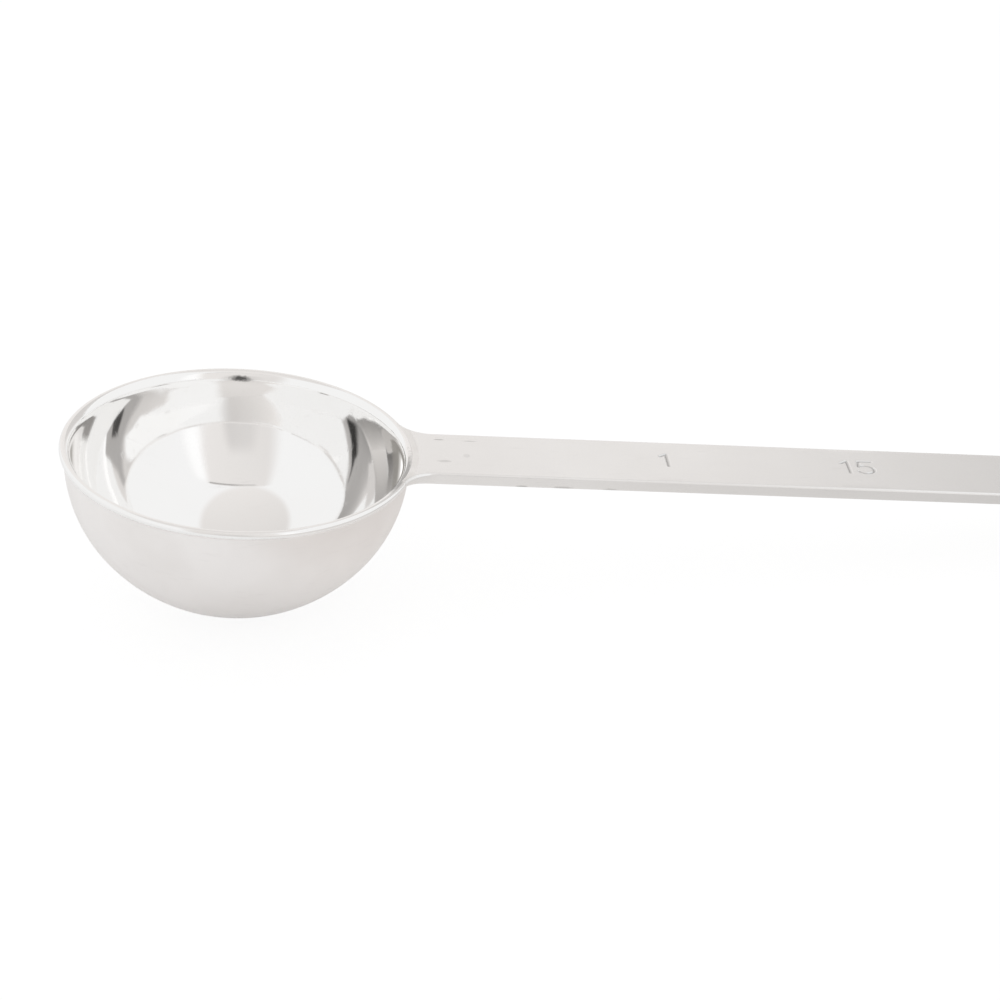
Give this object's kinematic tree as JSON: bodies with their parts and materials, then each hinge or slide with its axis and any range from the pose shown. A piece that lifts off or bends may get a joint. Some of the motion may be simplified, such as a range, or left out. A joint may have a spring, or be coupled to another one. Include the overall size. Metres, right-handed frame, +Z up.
{
  "type": "measuring spoon",
  "caption": "Long-handled measuring spoon for one level tablespoon: a deep, almost hemispherical steel cup welded to a flat bar handle with a hanging hole.",
  "frame": {"origin": "centre of the cup's mouth, in the plane of the level rim", "axes": "+X along the handle, away from the cup; +Z up out of the cup; Y across the handle"},
  "size_m": [0.19, 0.041, 0.0199],
  "materials": {
    "polished_cup": "mirror polished inside, soft polish outside",
    "satin_bar": "fine satin polish",
    "dressed_weld": "ground and polished"
  },
  "bodies": {
    "root": {"bowl": "polished_cup", "handle": "satin_bar", "weld": "dressed_weld"}
  },
  "joints": []
}
